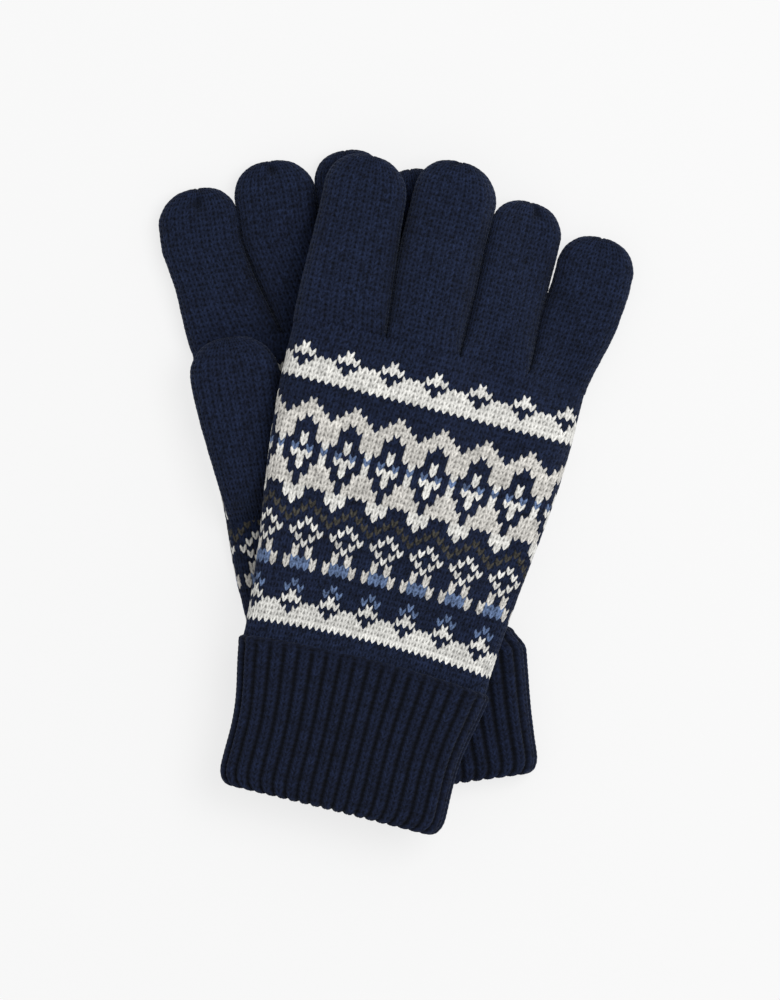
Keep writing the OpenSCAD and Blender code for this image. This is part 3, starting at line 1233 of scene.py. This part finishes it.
@dataclass
class Glove:
    """One glove with all its knitted pieces.

    Fields:
        side: left or right, which starts the name of each of its CAD nodes and bodies.
        fingers: root middle, root width, free middle, free width, length, and how far up
            the width goes on changing, index first.
        thumb: the same for the thumb.
        finger_thick, finger_low, thumb_low: thickness, and heights of the undersides.
        thumb_lies: 1 on top of the palm, -1 under it.
        tips: how each digit's end is drawn in, thumb last.
        finger_start, thumb_start: where the digits leave the hand, up the hand.
        thumb_hidden: length of the thumb's root that lies in the palm.
        finger_bend, thumb_bend: lengths up a digit from its root; the digit is not bent by them.
        gussets, gusset_along, gusset_skin: where the strips between the fingers are,
            across and up the hand, and how far they stop short of its two faces.
    """

    side: str
    place: Place
    hand: Hand
    fingers: tuple[tuple[float, ...], ...]
    thumb: tuple[float, ...]
    finger_thick: float
    finger_low: float
    thumb_low: float
    thumb_lies: int
    tips: tuple[Gather, ...]
    seed: int
    materials: dict[str, bpy.types.Material]
    finger_start: float = 115.05
    thumb_start: float = 39.0
    thumb_hidden: float = 12.0
    thumb_thick: float = 9.5
    finger_bend: float = 11.0
    thumb_bend: float = 14.0
    gussets: tuple[float, ...] = (-20.5, 6.2, 31.0)
    gusset_along: float = 112.0
    gusset_skin: float = 2.55

    @property
    def body(self) -> str:
        """The CAD body that the hand rides on."""
        return f"{self.side}_glove"

    def dress(self, obj: bpy.types.Object, slot: str, *nodes: str) -> bpy.types.Object:
        """Gives a piece its finish and hides the CAD nodes it stands for."""
        obj.data.materials.append(self.materials[slot])
        if nodes:
            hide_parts(*nodes)
        log.info("%s: %d faces", obj.name, len(obj.data.polygons))
        return obj

    def make_hand(self) -> None:
        """The hand's two faces."""
        faces = ("back", "palm") if self.side == "right" else ("palm", "back")
        for surface, face in zip(self.hand.sides(), faces):
            obj = surface.mesh(f"{self.side}_hand_{face}")
            self.dress(obj, "patterned_wool", f"{self.side}_hand")
            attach(obj, self.body)

    def digit(self, name: str, k: int, sizes: tuple[float, ...], **more: object) -> Digit:
        """A digit of this glove."""
        return Digit(self.place, name, *sizes, seed=self.seed + 11 * k, tip=self.tips[k], **more)

    def make_digit(self, digit: Digit, body: str, node: str, bend: tuple[float, float]) -> None:
        """Knits a digit and puts the yarn's knot inside its tip."""
        obj = digit.surface().mesh(f"{node}_wool")
        self.dress(obj, "navy_wool", node)
        at = [self.place.metres(digit.root, digit.start + b, digit.low) for b in bend]
        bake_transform(obj)
        name = f"{self.side}_{digit.name}_tip_knot"
        low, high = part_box(name)
        centre = np.array([(a + b) / 2 / MM for a, b in zip(low, high)])
        knot = Knot(centre).surface().mesh(f"{name}_yarn")
        self.dress(knot, "yarn_end", name)
        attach(knot, body)

    def make_digits(self) -> None:
        """Four fingers and the thumb."""
        for k, name in enumerate(DIGIT_NAMES):
            digit = self.digit(
                name, k, self.fingers[k], start=self.finger_start, thick=self.finger_thick,
                low=self.finger_low, joined_left=k > 0, joined_right=k < 3,
            )
            node = f"{self.side}_{name}_finger"
            self.make_digit(digit, f"{self.side}_{name}", node, (0.0, self.finger_bend))
        thumb = self.digit(
            "thumb", 4, self.thumb, start=self.thumb_start, thick=self.thumb_thick,
            low=self.thumb_low, thumb=self.thumb_lies, overlap=-self.thumb_hidden,
        )
        bend = (self.thumb_hidden, self.thumb_hidden + self.thumb_bend)
        self.make_digit(thumb, f"{self.side}_thumb_part", f"{self.side}_thumb", bend)

    def make_gussets(self) -> None:
        """The strips between the finger roots."""
        ends = self.gusset_skin, self.hand.thick - self.gusset_skin
        for k, across in enumerate(self.gussets):
            strip = Gusset(self.place, across, self.gusset_along, *ends)
            obj = strip.surface().mesh(f"{self.side}_finger_gusset_{k + 1}")
            self.dress(obj, "navy_wool", f"{self.side}_finger_gussets")
            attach(obj, self.body)

    def make_cuff(self) -> None:
        """The turned-up ribbing and the ribbing inside it."""
        top, bottom, inner_bottom = 3.3, -48.6, -47.6
        outer = Cuff(
            self.place, self.seed + 70, top, bottom,
            inset=0.0, wall=2.2, relief=(1.15, 0.3), fine=(5, 2),
        )
        obj = outer.surface().mesh(f"{self.side}_cuff_turn_up_wool")
        self.dress(obj, "ribbed_wool", f"{self.side}_cuff_turn_up")
        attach(obj, f"{self.side}_cuff")
        inner = Cuff(
            self.place, self.seed + 80, top, inner_bottom,
            inset=2.5, wall=2.0, relief=(0.5, 0.9), fine=(2, 3), across=6,
        )
        obj = inner.surface().mesh(f"{self.side}_cuff_lining_wool")
        self.dress(obj, "ribbed_wool", f"{self.side}_cuff_lining")
        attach(obj, self.body)

    def make(self) -> None:
        """Builds the whole glove."""
        self.make_hand()
        self.make_digits()
        self.make_gussets()
        self.make_cuff()


def make_gloves(materials: dict[str, bpy.types.Material]) -> None:
    """Builds the two gloves at the places that the CAD model has them."""
    upper = Place(-12.0, -63.1, turn=14.0, drapes=True, bow=2.6)
    lower = Place(-3.6, -55.9, turn=-8.0, drapes=False, lean=5.5, flare=4.4)
    right = Glove(
        "right", upper,
        Hand(upper, thick=11.0, seed=21, twist=1.9, repeat_at=3, cell=Stitch(across=8, along=4)),
        (
            (-36.8, 31.8, -41.1, 28.0, 62.0, 50.0),
            (-7.1, 26.0, -8.8, 28.0, 67.4, 25.0),
            (18.6, 24.2, 18.2, 24.0, 60.0, 25.0),
            (41.5, 20.4, 45.0, 26.0, 54.0, 25.0),
        ),
        (-18.6, 20.0, -21.0, 24.0, 66.0, 25.0),
        finger_thick=11.0, finger_low=0.0, thumb_low=-9.9, thumb_lies=-1,
        tips=(
            Gather(phase=0.4),
            Gather(tuck_at=0.2, tuck_depth=0.8, tuck_from=8.0, phase=1.0, lean=-0.8),
            Gather(tuck_at=0.31, tuck_depth=1.5, tuck_from=12.0, phase=2.0, lean=-0.6),
            Gather(phase=2.9),
            Gather(),
        ),
        seed=100, materials=materials,
    )
    left = Glove(
        "left", lower,
        Hand(lower, thick=10.0, seed=22, twist=0.6, repeat_at=1, cell=Stitch(across=6, along=4)),
        (
            (-36.8, 31.8, -44.2, 27.2, 56.0, 25.0),
            (-7.1, 26.0, -16.2, 27.6, 62.0, 25.0),
            (18.6, 24.2, 10.2, 23.2, 62.0, 25.0),
            (41.5, 20.4, 32.0, 19.4, 52.3, 25.0),
        ),
        (-36.5, 20.0, -39.9, 30.2, 78.5, 65.0),
        finger_thick=9.7, finger_low=0.3, thumb_low=10.4, thumb_lies=1,
        tips=(
            Gather(tuck_at=0.25, tuck_depth=1.9, tuck_from=16.0, phase=0.2, lean=0.8),
            Gather(tuck_at=0.26, tuck_depth=1.6, tuck_from=13.0, phase=1.3, lean=-0.5),
            Gather(phase=2.2),
            Gather(phase=3.0),
            Gather(phase=0.8),
        ),
        seed=300, materials=materials,
    )
    right.make()
    left.make()


# ---------------------------------------------------------------- studio


@dataclass(frozen=True)
class Studio:
    """A pale floor, one large soft light and an even surround, with the camera overhead.

    Fields:
        view_height, middle: how much of the table the camera sees, and round where.
        distance, sensor: the camera's distance, and its sensor's long side in millimetres.
        light_power, light_size, light_at: the soft light.
        surround: brightness of the even light from all sides.
        floor_shade, floor_glow, floor_half: how pale the floor is, how brightly it is lit
            from below, and half its side.
        glove_top: height that the camera's distance is counted from.
    """

    view_height: float = 0.350
    middle: tuple[float, float] = (-0.0023, -0.0023)
    distance: float = 2.6
    sensor: float = 36.0
    light_power: float = 22.0
    light_size: float = 1.2
    surround: float = 0.6
    light_at: tuple[float, float, float] = (0.75, 0.35, 1.7)
    floor_shade: float = 0.18
    floor_glow: float = 0.75
    floor_half: float = 6.0
    glove_top: float = 0.015

    def floor(self) -> None:
        """A wide pale table, lit from below as a light table is, which softens shadows on it."""
        mesh = bpy.data.meshes.new("floor")
        far = self.floor_half
        corners = [(-far, -far, 0), (far, -far, 0), (far, far, 0), (-far, far, 0)]
        mesh.from_pydata(corners, [], [(0, 1, 2, 3)])
        obj = bpy.data.objects.new("floor", mesh)
        bpy.context.collection.objects.link(obj)
        g = Graph("pale_floor")
        skin = g.node(
            "ShaderNodeBsdfPrincipled",
            sockets={
                "Base Color": (*3 * [self.floor_shade], 1),
                "Emission Color": (1, 1, 1, 1),
                "Emission Strength": self.floor_glow,
                "Roughness": 0.95,
                "Specular IOR Level": 0.0,
            },
        )
        g.node("ShaderNodeOutputMaterial", sockets={"Surface": skin})
        mesh.materials.append(g.material)

    def lights(self) -> None:
        """A soft light from the upper right, and an even white surround."""
        lamp = bpy.data.lights.new("softbox", "AREA")
        lamp.shape, lamp.size, lamp.energy = "SQUARE", self.light_size, self.light_power
        obj = bpy.data.objects.new("softbox", lamp)
        obj.location = self.light_at
        aim = -obj.location
        obj.rotation_euler = aim.to_track_quat("-Z", "Y").to_euler()
        bpy.context.collection.objects.link(obj)
        world = bpy.data.worlds.new("surround")
        world.use_nodes = True
        back = world.node_tree.nodes["Background"]
        back.inputs["Color"].default_value = (1, 1, 1, 1)
        back.inputs["Strength"].default_value = self.surround
        bpy.context.scene.world = world

    def camera(self) -> None:
        """Straight down, with a long lens that sees view_height of the table."""
        cam = bpy.data.cameras.new("camera")
        cam.sensor_width = self.sensor
        cam.lens = self.sensor * self.distance / self.view_height
        obj = bpy.data.objects.new("camera", cam)
        obj.location = (*self.middle, self.distance + self.glove_top)
        bpy.context.collection.objects.link(obj)
        bpy.context.scene.camera = obj

    def build(self) -> None:
        """Sets the whole studio up, with colours shown as they are."""
        self.camera()
        self.lights()
        self.floor()
        bpy.context.scene.view_settings.view_transform = "Standard"


def main() -> None:
    """Builds the studio and the gloves."""
    logging.basicConfig(level=logging.INFO, format="%(message)s")
    Studio().build()
    make_gloves({slot: wool.material() for slot, wool in FINISHES.items()})


if __name__ == "__main__":
    main()
